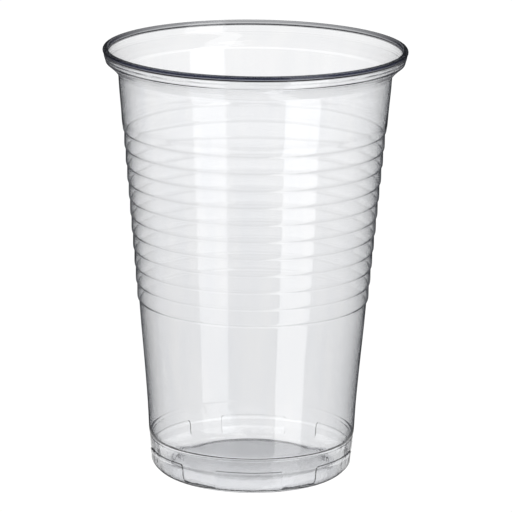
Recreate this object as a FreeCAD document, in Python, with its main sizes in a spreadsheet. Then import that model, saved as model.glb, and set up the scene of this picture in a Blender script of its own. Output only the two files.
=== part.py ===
import FreeCAD, Part
import math
import os
import Sketcher

# A clear plastic disposable drinking cup of about 0.2 litre, drawn from one sheet of plastic.
# Millimetres, +Z up. The origin is on the axis, in the plane of the foot that the cup stands on.
# The whole cup is one turned section with six low raised pads round its foot.

doc = FreeCAD.newDocument("disposable_cup")

# ---------------------------------------------------------------- driving sizes
SIZES = [
    # sheet
    ("sheet_wall", 0.26, "sheet thickness in the wall"),
    ("sheet_foot", 0.70, "sheet thickness in the foot, where it stays thick"),
    ("sheet_floor", 0.50, "sheet thickness in the floor"),
    # rim bead
    ("rim_radius", 34.49, "axis to the centre of the bead"),
    ("rim_height", 100.10, "foot plane to the centre of the bead"),
    ("bead_radius", 0.655, "radius of the rounded bead"),
    ("bead_low_angle", -62.0, "where the bead meets the band outside"),
    ("bead_in_angle", 207.0, "where the bead meets the band inside"),
    ("band_radius", 34.90, "band under the bead, outside"),
    ("band_height", 99.10, "band under the bead, outside"),
    ("band_in_radius", 33.97, "band under the bead, inside"),
    ("band_in_height", 98.20, "foot of the band, inside"),
    ("sheet_neck", 0.34, "sheet thickness at the foot of the collar"),
    # collar under the rim
    ("collar_low_radius", 34.45, "collar band, lower edge"),
    ("collar_low_height", 97.66, "collar band, lower edge"),
    ("collar_bowl_radius", 4.60, "bowl-shaped underside of the collar"),
    ("notch_radius", 32.14, "foot of the bowl"),
    ("notch_height", 95.24, "foot of the bowl"),
    ("neck_radius", 31.48, "top of the smooth wall"),
    ("neck_height", 94.05, "top of the smooth wall"),
    # ring bands
    ("ring_lip_height", 81.13, "lower edge of the smooth band above the rings"),
    ("ring_pitch", 4.003, "height of one ring"),
    ("ring_step", 0.352, "each ring is this much smaller in radius"),
    ("ring_lip_rise", 1.20, "height over which a ring turns in to the next"),
    ("ring_radius", 30.462, "smooth band at its lower edge"),
    # lower wall and foot
    ("wall_top_radius", 26.52, "wall just under the last ring"),
    ("wall_mid_radius", 24.48, "lower wall"),
    ("wall_mid_height", 16.30, "lower wall"),
    ("wall_low_radius", 24.04, "wall at the thick ring line"),
    ("wall_low_height", 9.35, "height of the ring line inside"),
    ("ring_line_drop", 0.42, "height of the step inside, at the ring line"),
    ("ledge_radius", 23.66, "foot ledge, upper side"),
    ("ledge_height", 4.90, "foot ledge"),
    ("ledge_step", 0.15, "foot ledge, radial step"),
    ("foot_bend", 3.45, "outer radius of the foot's bottom edge"),
    ("foot_rest_radius", 20.0, "outer edge of the ring that the cup stands on"),
    ("foot_rest_width", 1.10, "width of the ring that the cup stands on"),
    ("rise_height", 1.30, "how far the floor stands above the foot plane"),
    ("rise_width", 1.50, "width of the slope up to the floor"),
    # raised pads round the foot
    ("pad_count", 6, "pads"),
    ("pad_angle", 38.6, "degrees that each pad spans"),
    ("pad_height", 5.74, "top edge of the pads, outside"),
    ("pad_rise", 0.27, "how far a pad stands out from the foot"),
    ("pad_slope", 0.20, "fall of the pad's top face towards the outside"),
    ("pad_root", 0.35, "how far the pad's section reaches into the foot"),
    ("pad_corner", 0.68, "rounding of the pad's upper corners"),
    ("pad_bend", 3.45, "outer radius of the pad's lower part"),
    ("pad_foot_angle", 60.0, "where the pad has run out, below the horizontal"),
]
sheet = doc.addObject("Spreadsheet::Sheet", "sizes")
VALUE = {}
for row, (name, number, note) in enumerate(SIZES, start=1):
    sheet.set("A%d" % row, name)
    sheet.set("B%d" % row, repr(number))
    sheet.setAlias("B%d" % row, name)
    sheet.set("C%d" % row, note)
    VALUE[name] = float(number)
doc.recompute()


class Size:
    """A number together with the sheet formula that gives it."""

    def __init__(self, value, text):
        self.value = float(value)
        self.text = text

    @staticmethod
    def of(other):
        return other if isinstance(other, Size) else Size(other, "%.9g" % other)

    def __add__(self, other):
        other = Size.of(other)
        return Size(self.value + other.value, "(%s + %s)" % (self.text, other.text))

    def __sub__(self, other):
        other = Size.of(other)
        return Size(self.value - other.value, "(%s - %s)" % (self.text, other.text))

    def __mul__(self, other):
        other = Size.of(other)
        return Size(self.value * other.value, "(%s * %s)" % (self.text, other.text))

    def __truediv__(self, other):
        other = Size.of(other)
        return Size(self.value / other.value, "(%s / %s)" % (self.text, other.text))


def size(name):
    return Size(VALUE[name], "sizes.%s" % name)


def cos_of(angle):
    return Size(math.cos(math.radians(angle.value)), "cos(%s * 1deg)" % angle.text)


def sin_of(angle):
    return Size(math.sin(math.radians(angle.value)), "sin(%s * 1deg)" % angle.text)


def on_circle(centre, radius, angle):
    return (centre[0] + radius * cos_of(angle), centre[1] + radius * sin_of(angle))


def plane(body, role):
    for feature in body.Origin.OriginFeatures:
        if feature.Role == role:
            return feature
    raise RuntimeError("no plane " + role)


def section_sketch(body, name, role, points, bends):
    """A closed sketch through points. bends gives, for the side after a point, the signed
    radius of its arc: plus turns to the left as the outline is followed, minus to the right."""
    sketch = body.newObject("Sketcher::SketchObject", name)
    sketch.AttachmentSupport = [(plane(body, role), "")]
    sketch.MapMode = "FlatFace"
    count = len(points)
    geometry = []
    arcs = {}
    for i in range(count):
        a = FreeCAD.Vector(points[i][0].value, points[i][1].value, 0)
        j = (i + 1) % count
        b = FreeCAD.Vector(points[j][0].value, points[j][1].value, 0)
        if i in bends:
            sign, radius, big = bends[i]
            half = (b - a).Length / 2.0
            reach = math.sqrt(max(radius.value ** 2 - half ** 2, 0.0))
            if big:
                reach = -reach
            along = (b - a).normalize()
            left = FreeCAD.Vector(-along.y, along.x, 0)
            centre = (a + b) * 0.5 + left * (reach * sign)
            middle_dir = left * (-sign)
            middle = centre + middle_dir * radius.value
            arc = Part.Arc(a, middle, b)
            geometry.append(arc)
            arcs[i] = radius
        else:
            geometry.append(Part.LineSegment(a, b))
    sketch.addGeometry(geometry, False)
    # the arc's own start may be either end, because arcs run anticlockwise
    start = {}
    for i in range(count):
        a = FreeCAD.Vector(points[i][0].value, points[i][1].value, 0)
        p1 = sketch.getPoint(i, 1)
        start[i] = 1 if (p1 - a).Length < 1e-7 else 2
    constraints = []
    for i in range(count):
        j = (i + 1) % count
        constraints.append(Sketcher.Constraint("Coincident", i, 3 - start[i], j, start[j]))
    sketch.addConstraint(constraints)
    for i in range(count):
        px, py = points[i]
        if abs(px.value) < 1e-9:
            sketch.addConstraint(Sketcher.Constraint("PointOnObject", i, start[i], -2))
        else:
            k = sketch.addConstraint(Sketcher.Constraint("DistanceX", -1, 1, i, start[i], px.value))
            sketch.setExpression("Constraints[%d]" % k, px.text)
        if abs(py.value) < 1e-9:
            sketch.addConstraint(Sketcher.Constraint("PointOnObject", i, start[i], -1))
        else:
            k = sketch.addConstraint(Sketcher.Constraint("DistanceY", -1, 1, i, start[i], py.value))
            sketch.setExpression("Constraints[%d]" % k, py.text)
    for i, radius in arcs.items():
        k = sketch.addConstraint(Sketcher.Constraint("Radius", i, radius.value))
        sketch.setExpression("Constraints[%d]" % k, radius.text)
    return sketch


# ---------------------------------------------------------------- the turned section
zero = Size(0.0, "0")
t = size("sheet_wall")
tf = size("sheet_foot")
tb = size("sheet_floor")

points = []
bends = {}


def go(point, bend=None):
    """Adds a corner; bend = (sign, radius) or (sign, radius, True) for the side that follows."""
    if bend is not None:
        bends[len(points)] = (bend[0], bend[1], len(bend) > 2 and bend[2])
    points.append(point)


# The outline is followed from the floor's underside outwards, up the outside, round the bead,
# and back down the inside to the floor.
rest_out = size("foot_rest_radius")
rest_in = rest_out - size("foot_rest_width")
rise = size("rise_height")
rise_in = rest_in - size("rise_width")
foot_out = rest_out + size("foot_bend")

go((zero, rise))
go((rise_in, rise))
go((rest_in, zero))
go((rest_out, zero), (+1, size("foot_bend")))
go((foot_out, size("foot_bend")))
go((size("ledge_radius") - size("ledge_step"), size("ledge_height")))
go((size("ledge_radius"), size("ledge_height") + 0.12))
go((size("wall_low_radius"), size("wall_low_height")))
go((size("wall_mid_radius"), size("wall_mid_height")))

ring_step = size("ring_step")
lip_rise = size("ring_lip_rise")
lip_bend = (lip_rise * lip_rise + ring_step * ring_step) / (ring_step * 2)
RINGS = 11


def lip_height(i):
    return size("ring_lip_height") - size("ring_pitch") * i


def ring_radius(i):
    """Radius of the band above lip i; band 0 is the smooth band above the first ring."""
    return size("ring_radius") - ring_step * i


last_step = ring_radius(RINGS - 1) - size("wall_top_radius")
last_bend = (lip_rise * lip_rise + last_step * last_step) / (last_step * 2)

# up the outside of the rings
for i in range(RINGS - 1, -1, -1):
    low = size("wall_top_radius") if i == RINGS - 1 else ring_radius(i + 1)
    bend = last_bend if i == RINGS - 1 else lip_bend
    go((low, lip_height(i)), (+1, bend))
    go((ring_radius(i), lip_height(i) + lip_rise))
# smooth band, neck, bowl and collar
go((size("neck_radius"), size("neck_height")))
go((size("notch_radius"), size("notch_height")), (+1, size("collar_bowl_radius")))
go((size("collar_low_radius"), size("collar_low_height")))

# the rim: the sheet keeps its full thickness here and ends in a round bead
bead = (size("rim_radius"), size("rim_height"))
go((size("band_radius"), size("band_height")))
go(on_circle(bead, size("bead_radius"), size("bead_low_angle")), (+1, size("bead_radius"), True))
go(on_circle(bead, size("bead_radius"), size("bead_in_angle")))

# down the inside
tn = size("sheet_neck")
go((size("band_in_radius"), size("band_in_height")), (-1, size("collar_bowl_radius") - tn))
go((size("notch_radius") - tn, size("notch_height") + 0.20))
go((size("neck_radius") - t, size("neck_height")))
for i in range(RINGS):
    low = size("wall_top_radius") if i == RINGS - 1 else ring_radius(i + 1)
    bend = last_bend if i == RINGS - 1 else lip_bend
    go((ring_radius(i) - t, lip_height(i) + lip_rise), (-1, bend))
    go((low - t, lip_height(i)))
go((size("wall_mid_radius") - t, size("wall_mid_height")))
go((size("wall_low_radius") - t, size("wall_low_height")))
go((size("wall_low_radius") - tf, size("wall_low_height") - size("ring_line_drop")))
go((foot_out - tf, size("foot_bend")), (-1, size("foot_bend") - tf))
go((rest_out, tf))
go((rest_in - 0.1, tf))
go((rise_in, rise + tb))
go((zero, rise + tb))

body = doc.addObject("PartDesign::Body", "Body")
body.Label = "cup"
section = section_sketch(body, "section", "XZ_Plane", points, bends)
doc.recompute()
shell = body.newObject("PartDesign::Revolution", "shell")
shell.Profile = section
shell.ReferenceAxis = (section, ["V_Axis"])
shell.Angle = 360.0
doc.recompute()
turned_volume = shell.Shape.Volume

# ---------------------------------------------------------------- raised pads round the foot
pad_points = []
pad_bends = {}
centre = (rest_out, size("foot_bend"))
root = size("pad_root")
low_angle = size("pad_foot_angle") * -1
pad_points.append((size("ledge_radius") - root, size("pad_height") + size("pad_slope")))
pad_points.append((foot_out - root, size("foot_bend")))
pad_bends[1] = (-1, size("foot_bend") - root, False)
pad_points.append(on_circle(centre, size("foot_bend") - root, low_angle))
pad_points.append(on_circle(centre, size("foot_bend") - root * 0.35, low_angle))
pad_bends[3] = (+1, size("pad_bend"), False)
pad_points.append((foot_out + size("pad_rise"), size("foot_bend")))
pad_points.append((size("ledge_radius") + 0.06 + size("pad_rise"), size("pad_height")))
pad_sketch = section_sketch(body, "pad_section", "YZ_Plane", pad_points, pad_bends)
doc.recompute()
pad = body.newObject("PartDesign::Revolution", "pad")
pad.Profile = pad_sketch
pad.ReferenceAxis = (pad_sketch, ["V_Axis"])
pad.Midplane = True
pad.setExpression("Angle", "sizes.pad_angle")
doc.recompute()
one_pad = pad.Shape.Volume
pads = body.newObject("PartDesign::PolarPattern", "pads")
pads.Originals = [pad]
pads.Axis = (pad_sketch, ["V_Axis"])
pads.Angle = 360.0
pads.setExpression("Occurrences", "sizes.pad_count")
body.Tip = pads
doc.recompute()
all_pads = pads.Shape.Volume

# the upper corners of each pad are rounded: their edges are short and lie in a plane through the axis
corners = []
for number, edge in enumerate(pads.Shape.Edges, start=1):
    if len(edge.Vertexes) != 2:
        continue
    p, q = edge.Vertexes[0].Point, edge.Vertexes[1].Point
    if min(p.z, q.z) < VALUE["pad_height"] - 1e-4 or max(p.z, q.z) > VALUE["pad_height"] + VALUE["pad_slope"]:
        continue
    if 0.02 < (p - q).Length < 0.8 and abs(p.cross(q).z) < 1e-3:
        corners.append("Edge%d" % number)
rounding = body.newObject("PartDesign::Fillet", "pad_corners")
rounding.Base = (pads, corners)
rounding.setExpression("Radius", "sizes.pad_corner")
body.Tip = rounding
doc.recompute()

# ---------------------------------------------------------------- tests before anything is written
for thing in doc.Objects:
    for word in ("Invalid", "Error"):
        if word in thing.State:
            raise RuntimeError("%s: %s" % (thing.Name, thing.State))
shape = body.Shape
if shape.isNull() or not shape.isValid() or len(shape.Solids) != 1:
    raise RuntimeError("the cup is not one valid solid")
print("corners", len(corners), "volumes", round(turned_volume, 1), round(one_pad, 1),
      round(all_pads, 1), round(shape.Volume, 1))
print("pad volume each", round(one_pad - turned_volume, 3),
      "all", round(all_pads - turned_volume, 3))
box = shape.BoundBox
print("box", [round(v, 3) for v in (box.XMin, box.XMax, box.YMin, box.YMax, box.ZMin, box.ZMax)])

os.makedirs("parts", exist_ok=True)
for node in [body]:
    node.Placement = FreeCAD.Placement()
    node.Shape.exportStep(os.path.join("parts", node.Label + ".step"))
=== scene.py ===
import bpy
import math
from mathutils import Matrix, Vector

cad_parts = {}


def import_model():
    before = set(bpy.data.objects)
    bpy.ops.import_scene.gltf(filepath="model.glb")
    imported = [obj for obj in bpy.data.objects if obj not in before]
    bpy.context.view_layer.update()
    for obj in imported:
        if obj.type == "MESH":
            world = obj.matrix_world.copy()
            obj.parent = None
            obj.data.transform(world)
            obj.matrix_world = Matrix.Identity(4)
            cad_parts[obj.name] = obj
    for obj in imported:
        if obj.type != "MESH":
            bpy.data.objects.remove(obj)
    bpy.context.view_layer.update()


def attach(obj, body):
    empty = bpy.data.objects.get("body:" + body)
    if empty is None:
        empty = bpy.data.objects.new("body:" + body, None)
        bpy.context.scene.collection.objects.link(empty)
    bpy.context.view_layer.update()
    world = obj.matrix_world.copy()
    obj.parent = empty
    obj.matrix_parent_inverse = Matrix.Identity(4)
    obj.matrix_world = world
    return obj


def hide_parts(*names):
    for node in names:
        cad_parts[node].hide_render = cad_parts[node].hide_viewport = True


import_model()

MM = 0.001

# ------------------------------------------------------------------ the section, in mm
T_WALL = 0.26
T_FOOT = 0.70
T_FLOOR = 0.50

LIP_TOP = 81.13
PITCH = 4.003
UNDER_LIP = [30.11, 29.76, 29.41, 29.05, 28.72, 28.38, 28.02, 27.68, 27.35, 26.99, 26.53]
LIP_RISE = 1.05
ROUNDING = 0.13


def spline(points, steps):
    """Catmull-Rom curve through points, with steps pieces to a side."""
    out = []
    n = len(points)
    for i in range(n - 1):
        p0 = points[i - 1] if i else (2 * points[0][0] - points[1][0], 2 * points[0][1] - points[1][1])
        p1, p2 = points[i], points[i + 1]
        p3 = points[i + 2] if i + 2 < n else (2 * p2[0] - p1[0], 2 * p2[1] - p1[1])
        for k in range(steps):
            u = k / steps
            q = []
            for a, b, c, d in zip(p0, p1, p2, p3):
                q.append(0.5 * (2 * b + (c - a) * u + (2 * a - 5 * b + 4 * c - d) * u * u
                                + (3 * b - a - 3 * c + d) * u ** 3))
            out.append(tuple(q))
    out.append(points[-1])
    return out


def arc(centre, radius, a0, a1, steps):
    return [(centre[0] + radius * math.cos(math.radians(a0 + (a1 - a0) * k / steps)),
             centre[1] + radius * math.sin(math.radians(a0 + (a1 - a0) * k / steps)))
            for k in range(steps + 1)]


FOOT_C = (20.0, 3.45)
FOOT_R = 3.45
BEAD_C = (34.49, 100.10)
BEAD_R = 0.655


def raw_wall():
    """Outside of the wall with its mould's crisp corners, from the ring line near the foot to the collar."""
    wall = spline([(24.06, 9.20), (24.14, 9.9), (24.28, 12.8), (24.48, 16.3), (24.84, 21.0), (25.22, 25.6),
                   (25.64, 30.3), (26.06, 34.9), (26.40, 39.1), (UNDER_LIP[10], LIP_TOP - 10 * PITCH)], 3)
    for i in range(10, -1, -1):
        low = LIP_TOP - i * PITCH
        r0 = UNDER_LIP[i]
        r1 = UNDER_LIP[i - 1] if i else 30.47
        for k in range(1, 13):
            u = k / 12
            wall.append((r0 + (r1 - r0) * (1 - (1 - u) ** 2.4), low + u * LIP_RISE))
        if i:
            wall.append((r1 + 0.015, low + 0.6 * PITCH))
            wall.append((r1, low + PITCH))
    wall += spline([(30.47, LIP_TOP + LIP_RISE), (30.64, 83.1), (30.87, 86.1), (31.16, 89.4), (31.36, 91.7),
                    (31.47, 93.4), (31.53, 94.2)], 3)[1:]
    return wall


def outer_wall():
    """Outside of the wall, its corners a little rounded as the sheet takes them."""
    raw = raw_wall()
    zs = [9.20, 9.5, 9.9, 10.8, 12.8, 14.5, 16.3, 18.6, 21.0, 23.3, 25.6, 28.0, 30.3, 32.6, 34.9, 37.0, 39.1]
    for i in range(10, -1, -1):
        low = LIP_TOP - i * PITCH
        zs += [low + d for d in (-1.0, -0.42, -0.17, -0.06, 0.04, 0.14, 0.28, 0.48, 0.76, 1.12, 1.6)]
    zs += [83.6, 84.8, 86.1, 87.7, 89.4, 91.0, 92.2, 93.4, 94.2]
    out = []
    for z in zs:
        if z < 9.4 or z > 93.9:
            out.append((radius_at(raw, z), z))
        else:
            out.append((sum(radius_at(raw, z + k * ROUNDING / 5) for k in range(-5, 6)) / 11, z))
    return out


def collar():
    """Outside of the collar: its bowl-shaped underside, and the band up to the bead."""
    bowl = spline([(31.53, 94.2), (31.57, 94.55), (31.68, 94.86), (31.90, 95.12), (32.18, 95.45), (32.47, 95.81),
                   (32.80, 96.15), (33.29, 96.61), (33.83, 97.07), (34.14, 97.33)], 2)[1:] + [(34.46, 97.58)]
    band = [(34.50, 97.68)] + spline([(34.52, 97.80), (34.58, 98.05), (34.69, 98.40), (34.80, 98.76), (34.88, 99.06),
                                      (34.86, 99.30), (34.80, 99.46)], 2)
    return bowl, band


def offset(points, thick):
    out = []
    for i, p in enumerate(points):
        a = points[max(i - 1, 0)]
        b = points[min(i + 1, len(points) - 1)]
        dx, dz = b[0] - a[0], b[1] - a[1]
        n = math.hypot(dx, dz)
        out.append((p[0] - dz / n * thick, p[1] + dx / n * thick))
    return out


def radius_at(points, z):
    for a, b in zip(points, points[1:]):
        if a[1] <= z <= b[1] and b[1] > a[1]:
            return a[0] + (b[0] - a[0]) * (z - a[1]) / (b[1] - a[1])
    return points[0][0] if z < points[0][1] else points[-1][0]


def section():
    """The closed section, and for each point what part of the cup it is on."""
    pts, tags = [], []

    def add(seq, tag):
        for p in seq:
            if pts and math.hypot(p[0] - pts[-1][0], p[1] - pts[-1][1]) < 1e-6:
                continue
            pts.append(p)
            tags.append(tag)

    # underside and foot
    add([(6.0, 1.30), (12.0, 1.30)], "floor_out")
    add(spline([(15.7, 1.30), (16.5, 1.22), (17.3, 0.88), (18.2, 0.40), (18.8, 0.06), (19.0, 0.0)], 2), "rest")
    add([(19.5, 0.0)], "rest")
    add(arc(FOOT_C, FOOT_R, -90, -4, 22), "foot")
    add([(23.455, 3.75), (23.475, 4.2), (23.505, 4.60), (23.54, 4.80), (23.58, 4.95), (23.62, 5.10), (23.65, 5.22),
         (23.675, 5.33), (23.69, 5.42), (23.70, 5.50), (23.705, 5.57), (23.71, 5.63), (23.715, 5.685),
         (23.72, 5.74), (23.725, 5.785), (23.73, 5.83), (23.735, 5.88), (23.77, 6.3), (23.84, 7.3), (23.93, 8.5),
         (24.01, 9.05)], "foot")
    wall = outer_wall()
    add(wall, "wall")
    bowl, band = collar()
    add(bowl, "wall")
    add(band, "wall")
    # the rounded bead, where the sheet keeps its full thickness
    add(arc(BEAD_C, BEAD_R, -60, 206, 34), "bead")
    # inside of the band and the bowl; the sheet thins on its way down
    add(spline([(33.905, 99.80), (33.93, 99.45), (33.955, 99.0), (33.955, 98.6), (33.91, 98.25), (33.74, 97.86),
                (33.42, 97.45), (33.03, 97.04), (32.62, 96.58), (32.26, 96.12), (31.94, 95.68), (31.66, 95.28),
                (31.44, 94.94), (31.31, 94.60), (31.26, 94.28)], 2)[1:], "in")
    inside_wall = offset(wall, T_WALL)
    add([p for k, p in reversed(list(enumerate(inside_wall[:-1]))) if p[1] > 9.6 and (k < 17 or (k - 17) % 11 not in (0, 3))],
        "in")
    # the sheet is thicker below the ring line
    add([(23.80, 9.52), (23.78, 9.40), (23.56, 9.16), (23.335, 8.91), (23.32, 8.75), (23.27, 7.9),
         (23.10, 6.3), (22.90, 4.7)], "in")
    add(arc(FOOT_C, FOOT_R - T_FOOT, 0, -88, 18), "in")
    add([(19.4, T_FOOT), (18.85, 0.74), (18.5, 0.82), (17.95, 1.22), (17.5, 1.54), (17.0, 1.73), (16.4, 1.80)], "in")
    add([(12.0, 1.80), (6.0, 1.80)], "in")
    return pts, tags


# ------------------------------------------------------------------ pads round the foot
PADS = 6
PAD_HALF = 19.3
PAD_TOP = 5.74
PAD_RISE = 0.27
PAD_CORNER = 0.68
PAD_EDGE = 0.087
PAD_BEND = 3.45
PAD_LOW = 60.0
PAD_ROOT = 0.35


def angles():
    """Azimuth of each row of vertices: close together at the sides of the pads."""
    fine = [-1.75, -1.35, -1.0, -0.7, -0.45, -0.22, 0.0, 0.21, 0.6]
    one = []
    for side in (-1, 1):
        for f in fine:
            one.append(side * (PAD_HALF + f))
    span = PAD_HALF - 1.75
    for k in range(1, 11):
        one.append(-span + 2 * span * k / 11)
    gap0, gap1 = PAD_HALF + 0.6, 60 - PAD_HALF - 0.6
    for k in range(1, 6):
        one.append(gap0 + (gap1 - gap0) * k / 6)
    one.sort()
    out = []
    for i in range(PADS):
        out += [-90.0 + 60.0 * i + a for a in one]
    return out


def pad_arc():
    """Centre of the arc of the pad's lower part."""
    x1, z1 = FOOT_C[0] + FOOT_R + PAD_RISE, FOOT_C[1]
    reach = FOOT_R - 0.35 * PAD_ROOT
    x2 = FOOT_C[0] + reach * math.cos(math.radians(PAD_LOW))
    z2 = FOOT_C[1] - reach * math.sin(math.radians(PAD_LOW))
    half = math.hypot(x2 - x1, z2 - z1) / 2
    ux, uz = (x2 - x1) / (2 * half), (z2 - z1) / (2 * half)
    deep = math.sqrt(PAD_BEND ** 2 - half ** 2)
    return (x1 + x2) / 2 + uz * deep, (z1 + z2) / 2 - ux * deep


PAD_C = pad_arc()


def smooth(u):
    u = max(0.0, min(1.0, u))
    return u * u * (3 - 2 * u)


def raised(azimuth, r, z):
    """How far the pads stand out at a point of the outside."""
    off = (azimuth + 90.0 + 30.0) % 60.0 - 30.0
    side = (PAD_HALF - abs(off)) * math.pi / 180 * 23.6
    top = PAD_TOP - z
    if side < PAD_CORNER and top < PAD_CORNER:
        inside = PAD_CORNER - math.hypot(PAD_CORNER - side, PAD_CORNER - top)
    else:
        inside = min(side, top)
    part = max(0.0, min(1.0, (inside + PAD_EDGE) / PAD_EDGE))
    if z >= FOOT_C[1]:
        return part * (PAD_RISE + 0.03 * min(1.0, (z - FOOT_C[1]) / 2.3))
    below = math.atan2(FOOT_C[1] - z, r - FOOT_C[0])
    dx, dz = math.cos(below), -math.sin(below)
    ox, oz = FOOT_C[0] - PAD_C[0], FOOT_C[1] - PAD_C[1]
    b = ox * dx + oz * dz
    reach = -b + math.sqrt(max(b * b - (ox * ox + oz * oz - PAD_BEND ** 2), 0.0))
    return part * max(0.0, reach - FOOT_R)


def build_cup():
    pts, tags = section()
    rows = angles()
    verts, faces = [], []
    n = len(pts)
    for az in rows:
        ca, sa = math.cos(math.radians(az)), math.sin(math.radians(az))
        for (r, z), tag in zip(pts, tags):
            if tag == "foot":
                d = raised(az, r, z)
                if z < FOOT_C[1]:
                    nx, nz = r - FOOT_C[0], z - FOOT_C[1]
                    k = math.hypot(nx, nz)
                    r, z = r + d * nx / k, z + d * nz / k
                else:
                    r = r + d
            verts.append((r * ca * MM, r * sa * MM, z * MM))
    m = len(rows)
    for i in range(m):
        j = (i + 1) % m
        for k in range(n - 1):
            faces.append((i * n + k, j * n + k, j * n + k + 1, i * n + k + 1))
    low = len(verts)
    verts.append((0.0, 0.0, 1.30 * MM))
    verts.append((0.0, 0.0, 1.80 * MM))
    for i in range(m):
        j = (i + 1) % m
        faces.append((low, j * n, i * n))
        faces.append((low + 1, i * n + n - 1, j * n + n - 1))
    mesh = bpy.data.meshes.new("cup_shell")
    mesh.from_pydata(verts, [], faces)
    mesh.validate()
    mesh.update()
    obj = bpy.data.objects.new("cup_shell", mesh)
    bpy.context.scene.collection.objects.link(obj)
    for poly in mesh.polygons:
        poly.use_smooth = True
    mesh.set_sharp_from_angle(angle=math.radians(38))
    return obj


# ------------------------------------------------------------------ clear plastic
def mix_colour(nt, factor, a, b):
    node = nt.nodes.new("ShaderNodeMix")
    node.data_type = "RGBA"
    nt.links.new(factor, node.inputs[0])
    for index, value in ((6, a), (7, b)):
        if isinstance(value, tuple):
            node.inputs[index].default_value = value + (1.0,)
        else:
            nt.links.new(value, node.inputs[index])
    return node.outputs[2]


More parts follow.
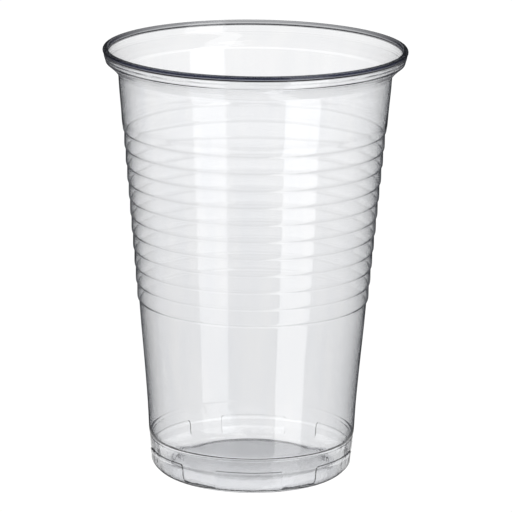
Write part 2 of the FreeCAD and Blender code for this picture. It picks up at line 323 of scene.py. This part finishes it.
def clear_plastic():
    mat = bpy.data.materials.new("clear_plastic")
    mat.use_nodes = True
    nt = mat.node_tree
    nt.nodes.clear()
    out = nt.nodes.new("ShaderNodeOutputMaterial")
    pr = nt.nodes.new("ShaderNodeBsdfPrincipled")
    pr.inputs["Transmission Weight"].default_value = 1.0
    pr.inputs["IOR"].default_value = 1.56
    coord = nt.nodes.new("ShaderNodeTexCoord")

    # faint haze from the sheet's flow lines, drawn out up the wall
    stretch = nt.nodes.new("ShaderNodeMapping")
    stretch.inputs["Scale"].default_value = (120.0, 120.0, 14.0)
    nt.links.new(coord.outputs["Object"], stretch.inputs["Vector"])
    flow = nt.nodes.new("ShaderNodeTexNoise")
    flow.inputs["Scale"].default_value = 1.6
    flow.inputs["Detail"].default_value = 5.0
    flow.inputs["Roughness"].default_value = 0.6
    nt.links.new(stretch.outputs["Vector"], flow.inputs["Vector"])
    tint = nt.nodes.new("ShaderNodeValToRGB")
    tint.color_ramp.elements[0].position = 0.32
    tint.color_ramp.elements[0].color = (0.955, 0.962, 0.975, 1)
    tint.color_ramp.elements[1].position = 0.68
    tint.color_ramp.elements[1].color = (0.99, 0.992, 0.996, 1)
    nt.links.new(flow.outputs["Fac"], tint.inputs["Fac"])
    # the full thickness of sheet in the rim looks deeper, a little blue; over that the bead has painted shade, near
    # black at the front and grey at the back, and a painted highlight line between painted dark lines
    place = nt.nodes.new("ShaderNodeSeparateXYZ")
    nt.links.new(coord.outputs["Object"], place.inputs["Vector"])
    rim = nt.nodes.new("ShaderNodeMapRange")
    rim.interpolation_type = "SMOOTHSTEP"
    rim.inputs["From Min"].default_value = 99.30 * MM
    rim.inputs["From Max"].default_value = 99.70 * MM
    nt.links.new(place.outputs["Z"], rim.inputs["Value"])
    # painted shade from front to back of the bead: 0 on the front half, rising to 1 at the back, by object Y
    rim_shade_front_to_back = nt.nodes.new("ShaderNodeMapRange")
    rim_shade_front_to_back.interpolation_type = "SMOOTHSTEP"
    rim_shade_front_to_back.inputs["From Min"].default_value = 2.0 * MM
    rim_shade_front_to_back.inputs["From Max"].default_value = 33.0 * MM
    nt.links.new(place.outputs["Y"], rim_shade_front_to_back.inputs["Value"])
    band = nt.nodes.new("ShaderNodeMapRange")
    band.inputs["From Min"].default_value = 99.5 * MM
    band.inputs["From Max"].default_value = 100.8 * MM
    # the painted lines on the bead sit 0.24 mm lower at the front than at the back
    lean = nt.nodes.new("ShaderNodeMath")
    lean.operation = "MULTIPLY_ADD"
    lean.inputs[1].default_value = -0.24 * MM
    lean.inputs[2].default_value = 0.10 * MM
    nt.links.new(rim_shade_front_to_back.outputs["Result"], lean.inputs[0])
    height = nt.nodes.new("ShaderNodeMath")
    height.operation = "ADD"
    nt.links.new(place.outputs["Z"], height.inputs[0])
    nt.links.new(lean.outputs["Value"], height.inputs[1])
    nt.links.new(height.outputs["Value"], band.inputs["Value"])
    # a painted highlight line between painted dark lines round the bead, and a fainter painted light at its top
    line = nt.nodes.new("ShaderNodeValToRGB")
    el = line.color_ramp.elements
    el[0].position, el[0].color = 0.30, (0, 0, 0, 1)
    el[1].position, el[1].color = 0.37, (1, 1, 1, 1)
    for at, value in ((0.46, 1.0), (0.54, 0.0), (0.82, 0.0), (0.92, 0.4)):
        more = el.new(at)
        more.color = (value, value, value, 1)
    nt.links.new(band.outputs["Result"], line.inputs["Fac"])
    # painted shade: the dark lines are near black at the front of the bead and grey at the back; the painted
    # highlight line is grey at the front and near clear at the back
    rim_painted_shade = mix_colour(nt, rim_shade_front_to_back.outputs["Result"], (0.004, 0.005, 0.014), (0.36, 0.365, 0.38))
    rim_painted_highlight = mix_colour(nt, rim_shade_front_to_back.outputs["Result"], (0.34, 0.35, 0.39), (0.95, 0.955, 0.96))
    rim_blue_and_painted_light = mix_colour(nt, line.outputs["Color"], rim_painted_shade, rim_painted_highlight)
    full = mix_colour(nt, rim.outputs["Result"], tint.outputs["Color"], rim_blue_and_painted_light)
    nt.links.new(full, pr.inputs["Base Color"])
    rough = nt.nodes.new("ShaderNodeMapRange")
    rough.inputs["To Min"].default_value = 0.01
    rough.inputs["To Max"].default_value = 0.03
    nt.links.new(flow.outputs["Fac"], rough.inputs["Value"])
    nt.links.new(rough.outputs["Result"], pr.inputs["Roughness"])

    # slow waviness of a drawn sheet
    wave = nt.nodes.new("ShaderNodeTexNoise")
    wave.inputs["Scale"].default_value = 60.0
    wave.inputs["Detail"].default_value = 2.0
    nt.links.new(coord.outputs["Object"], wave.inputs["Vector"])
    bump = nt.nodes.new("ShaderNodeBump")
    bump.inputs["Strength"].default_value = 0.12
    bump.inputs["Distance"].default_value = 0.0004
    nt.links.new(wave.outputs["Fac"], bump.inputs["Height"])
    # the thick foot cools unevenly: small ripples below the ring line
    ripple = nt.nodes.new("ShaderNodeTexNoise")
    ripple.inputs["Scale"].default_value = 130.0
    ripple.inputs["Detail"].default_value = 3.0
    nt.links.new(coord.outputs["Object"], ripple.inputs["Vector"])
    foot = nt.nodes.new("ShaderNodeMapRange")
    foot.interpolation_type = "SMOOTHSTEP"
    foot.inputs["From Min"].default_value = 8.9 * MM
    foot.inputs["From Max"].default_value = 8.3 * MM
    nt.links.new(place.outputs["Z"], foot.inputs["Value"])
    only = nt.nodes.new("ShaderNodeMath")
    only.operation = "MULTIPLY"
    flat = nt.nodes.new("ShaderNodeCombineXYZ")
    nt.links.new(place.outputs["X"], flat.inputs["X"])
    nt.links.new(place.outputs["Y"], flat.inputs["Y"])
    from_axis = nt.nodes.new("ShaderNodeVectorMath")
    from_axis.operation = "LENGTH"
    nt.links.new(flat.outputs["Vector"], from_axis.inputs[0])
    outer = nt.nodes.new("ShaderNodeMapRange")
    outer.interpolation_type = "SMOOTHSTEP"
    outer.inputs["From Min"].default_value = 20.6 * MM
    outer.inputs["From Max"].default_value = 21.8 * MM
    nt.links.new(from_axis.outputs["Value"], outer.inputs["Value"])
    where = nt.nodes.new("ShaderNodeMath")
    where.operation = "MULTIPLY"
    nt.links.new(foot.outputs["Result"], where.inputs[0])
    nt.links.new(outer.outputs["Result"], where.inputs[1])
    nt.links.new(ripple.outputs["Fac"], only.inputs[0])
    nt.links.new(where.outputs["Value"], only.inputs[1])
    rough_foot = nt.nodes.new("ShaderNodeBump")
    rough_foot.inputs["Strength"].default_value = 0.30
    rough_foot.inputs["Distance"].default_value = 0.0012
    nt.links.new(only.outputs["Value"], rough_foot.inputs["Height"])
    nt.links.new(bump.outputs["Normal"], rough_foot.inputs["Normal"])
    nt.links.new(rough_foot.outputs["Normal"], pr.inputs["Normal"])
    nt.links.new(pr.outputs["BSDF"], out.inputs["Surface"])
    return mat


cup = build_cup()
cup.data.materials.append(clear_plastic())
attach(cup, "root")
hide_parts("cup")

# ------------------------------------------------------------------ floor, world, light
def emitter(name, colour, strength):
    mat = bpy.data.materials.new(name)
    mat.use_nodes = True
    nt = mat.node_tree
    nt.nodes.clear()
    out = nt.nodes.new("ShaderNodeOutputMaterial")
    em = nt.nodes.new("ShaderNodeEmission")
    em.inputs["Color"].default_value = colour
    em.inputs["Strength"].default_value = strength
    nt.links.new(em.outputs["Emission"], out.inputs["Surface"])
    return mat


def panel(name, corners, mat):
    mesh = bpy.data.meshes.new(name)
    mesh.from_pydata([tuple(c) for c in corners], [], [tuple(range(len(corners)))])
    mesh.update()
    obj = bpy.data.objects.new(name, mesh)
    bpy.context.scene.collection.objects.link(obj)
    obj.data.materials.append(mat)
    return obj


floor_mat = emitter("floor_light", (1.0, 1.0, 1.0, 1), 1.04)
floor = panel("floor", [(-6, -6, -0.00005), (6, -6, -0.00005), (6, 6, -0.00005), (-6, 6, -0.00005)], floor_mat)
floor.visible_glossy = False
floor.visible_transmission = False
# the shaded table top right under the cup, as its floor shows it
shade_mat = emitter("shade_light", (0.98, 0.985, 1.0, 1), 0.72)
sn = shade_mat.node_tree
s_coord = sn.nodes.new("ShaderNodeTexCoord")
s_sep = sn.nodes.new("ShaderNodeSeparateXYZ")
sn.links.new(s_coord.outputs["Object"], s_sep.inputs["Vector"])
s_fall = sn.nodes.new("ShaderNodeMapRange")
s_fall.interpolation_type = "SMOOTHSTEP"
s_fall.inputs["From Min"].default_value = -7.0 * MM
s_fall.inputs["From Max"].default_value = 1.0 * MM
s_fall.inputs["To Min"].default_value = 0.94
s_fall.inputs["To Max"].default_value = 0.84
sn.links.new(s_sep.outputs["Y"], s_fall.inputs["Value"])
for node in sn.nodes:
    if node.type == "EMISSION":
        sn.links.new(s_fall.outputs["Result"], node.inputs["Strength"])
shade = panel("shade", [(0.0204 * math.cos(math.radians(a)), 0.0204 * math.sin(math.radians(a)), -0.00004)
                        for a in range(0, 360, 6)], shade_mat)
shade.visible_camera = False
shade.visible_glossy = False


# the lit table top round the cup, as the foot mirrors it
glow_mat = emitter("glow_light", (1.0, 1.0, 1.0, 1), 0.85)
gn = glow_mat.node_tree
g_coord = gn.nodes.new("ShaderNodeTexCoord")
g_len = gn.nodes.new("ShaderNodeVectorMath")
g_len.operation = "LENGTH"
gn.links.new(g_coord.outputs["Object"], g_len.inputs[0])
g_fall = gn.nodes.new("ShaderNodeMapRange")
g_fall.interpolation_type = "SMOOTHSTEP"
g_fall.inputs["From Min"].default_value = 30.0 * MM
g_fall.inputs["From Max"].default_value = 46.0 * MM
g_fall.inputs["To Min"].default_value = 0.85
g_fall.inputs["To Max"].default_value = 0.04
gn.links.new(g_len.outputs["Value"], g_fall.inputs["Value"])
g_under = gn.nodes.new("ShaderNodeFloatCurve")
g_curve = g_under.mapping.curves[0]
g_curve.points[0].location = (0.0, 0.80)
g_curve.points[1].location = (1.0, 1.0)
for place, level in ((0.385, 0.80), (0.41, 0.0), (0.455, 0.0), (0.50, 1.0)):
    g_curve.points.new(place, level)
for point in g_curve.points:
    point.handle_type = "VECTOR"
g_under.mapping.update()
g_scale = gn.nodes.new("ShaderNodeMath")
g_scale.operation = "MULTIPLY"
g_scale.inputs[1].default_value = 20.0
gn.links.new(g_len.outputs["Value"], g_scale.inputs[0])
gn.links.new(g_scale.outputs["Value"], g_under.inputs["Value"])
g_both = gn.nodes.new("ShaderNodeMath")
g_both.operation = "MULTIPLY"
gn.links.new(g_fall.outputs["Result"], g_both.inputs[0])
gn.links.new(g_under.outputs["Value"], g_both.inputs[1])
for node in gn.nodes:
    if node.type == "EMISSION":
        gn.links.new(g_both.outputs["Value"], node.inputs["Strength"])
glow = panel("glow", [(0.046 * math.cos(math.radians(a)), 0.046 * math.sin(math.radians(a)), -0.000045)
                      for a in range(0, 360, 6)], glow_mat)
glow.visible_camera = False
glow.visible_transmission = False


def ramp(nt, stops, interpolation="LINEAR"):
    node = nt.nodes.new("ShaderNodeValToRGB")
    node.color_ramp.interpolation = interpolation
    el = node.color_ramp.elements
    while len(el) < len(stops):
        el.new(0.5)
    for e, (place, colour) in zip(el, stops):
        e.position = place
        e.color = tuple(colour) + (1.0,)
    return node


def math_node(nt, operation, a, b=None):
    node = nt.nodes.new("ShaderNodeMath")
    node.operation = operation
    for i, v in enumerate((a, b)):
        if v is None:
            continue
        if isinstance(v, (int, float)):
            node.inputs[i].default_value = v
        else:
            nt.links.new(v, node.inputs[i])
    return node.outputs["Value"]


def world():
    w = bpy.data.worlds.new("studio")
    bpy.context.scene.world = w
    w.use_nodes = True
    nt = w.node_tree
    nt.nodes.clear()
    out = nt.nodes.new("ShaderNodeOutputWorld")
    coord = nt.nodes.new("ShaderNodeTexCoord")
    sep = nt.nodes.new("ShaderNodeSeparateXYZ")
    nt.links.new(coord.outputs["Generated"], sep.inputs["Vector"])
    # the lit sweep behind, seen straight through the plastic: bright near the horizon, less bright lower down
    level = math_node(nt, "ADD", math_node(nt, "MULTIPLY", sep.outputs["Z"], 0.5), 0.5)
    sweep = [(-1.0, 0.93), (-0.66, 0.94), (-0.48, 0.95), (-0.289, 0.97), (-0.262, 0.97), (-0.235, 1.05),
             (-0.207, 1.16), (-0.199, 1.03), (-0.15, 1.02), (0.05, 1.02), (0.13, 0.92), (0.24, 0.12), (0.40, 0.035), (1.0, 0.03)]
    high = ramp(nt, [((z + 1) / 2, (v / 1.2,) * 3) for z, v in sweep])
    nt.links.new(level, high.inputs["Fac"])
    through = nt.nodes.new("ShaderNodeBackground")
    through.inputs["Strength"].default_value = 1.2
    nt.links.new(high.outputs["Color"], through.inputs["Color"])
    # mirrored in the plastic: a dim room with one tall soft box to the right of the camera
    az = math_node(nt, "ARCTAN2", sep.outputs["X"], math_node(nt, "MULTIPLY", sep.outputs["Y"], -1.0))
    turn = math_node(nt, "ADD", math_node(nt, "DIVIDE", az, 2 * math.pi), 0.5)
    room = (0.035, 0.037, 0.042)
    box = (1.0, 1.0, 1.0)
    stops = [(-180, room), (-60, (0.05, 0.05, 0.055)), (27.3, (0.05, 0.05, 0.055)), (28.2, box), (58.8, box),
             (59.7, (0.05, 0.05, 0.055)), (180, room)]
    ring = ramp(nt, [((deg + 180) / 360, v) for deg, v in stops])
    nt.links.new(turn, ring.inputs["Fac"])
    mirrored = nt.nodes.new("ShaderNodeBackground")
    mirrored.inputs["Strength"].default_value = 1.4
    # and the near edge of the lit table, low down
    low = ramp(nt, [((z + 1) / 2, (v,) * 3) for z, v in ((-1.0, 0.05), (-0.74, 0.05), (-0.70, 1.0), (-0.54, 1.0),
                                                        (-0.50, 0.0), (1.0, 0.0))])
    nt.links.new(level, low.inputs["Fac"])
    both = nt.nodes.new("ShaderNodeVectorMath")
    both.operation = "MULTIPLY_ADD"
    both.inputs[1].default_value = (0.12, 0.12, 0.12)
    nt.links.new(low.outputs["Color"], both.inputs[0])
    nt.links.new(ring.outputs["Color"], both.inputs[2])
    # light caught in the sheet for long comes out evened to a grey
    path = nt.nodes.new("ShaderNodeLightPath")
    caught = math_node(nt, "GREATER_THAN", path.outputs["Ray Depth"], 9.5)
    nt.links.new(mix_colour(nt, caught, both.outputs["Vector"], (0.40, 0.40, 0.405)), mirrored.inputs["Color"])
    plain = nt.nodes.new("ShaderNodeBackground")
    plain.inputs["Color"].default_value = (1.0, 1.0, 1.0, 1.0)
    plain.inputs["Strength"].default_value = 1.04
    mix = nt.nodes.new("ShaderNodeMixShader")
    nt.links.new(math_node(nt, "GREATER_THAN", path.outputs["Glossy Depth"], 0.5), mix.inputs["Fac"])
    nt.links.new(through.outputs["Background"], mix.inputs[1])
    nt.links.new(mirrored.outputs["Background"], mix.inputs[2])
    seen = nt.nodes.new("ShaderNodeMixShader")
    nt.links.new(path.outputs["Is Camera Ray"], seen.inputs["Fac"])
    nt.links.new(mix.outputs["Shader"], seen.inputs[1])
    nt.links.new(plain.outputs["Background"], seen.inputs[2])
    nt.links.new(seen.outputs["Shader"], out.inputs["Surface"])


world()

scene = bpy.context.scene
scene.view_settings.view_transform = "Standard"
scene.view_settings.look = "None"
scene.cycles.max_bounces = 32
scene.cycles.transmission_bounces = 32
scene.cycles.glossy_bounces = 16
scene.cycles.transparent_max_bounces = 16
scene.cycles.caustics_reflective = True
scene.cycles.caustics_refractive = True

# ------------------------------------------------------------------ camera
ELEV = math.radians(14.101)
ROLL = math.radians(0.626)
DIST = 3705.3 * 0.23292 * MM
AIM = Vector((0.0, 0.0, 51.24 * MM))
TURN = math.radians(1.2)
back = Vector((math.sin(TURN) * math.cos(ELEV), -math.cos(TURN) * math.cos(ELEV), math.sin(ELEV)))
right0 = Vector((math.cos(TURN), math.sin(TURN), 0.0))
up0 = back.cross(right0)
right = math.cos(ROLL) * right0 + math.sin(ROLL) * up0
up = -math.sin(ROLL) * right0 + math.cos(ROLL) * up0
slide = right * (0.62 * MM)
cam_data = bpy.data.cameras.new("camera")
cam = bpy.data.objects.new("camera", cam_data)
scene.collection.objects.link(cam)
rot = Matrix((right, up, back)).transposed()
cam.matrix_world = Matrix.Translation(AIM + back * DIST + slide) @ rot.to_4x4()
cam_data.sensor_width = 36.0
cam_data.lens = 36.0 * 3705.3 / 512.0
cam_data.clip_start = 0.01
cam_data.clip_end = 50.0
scene.camera = cam
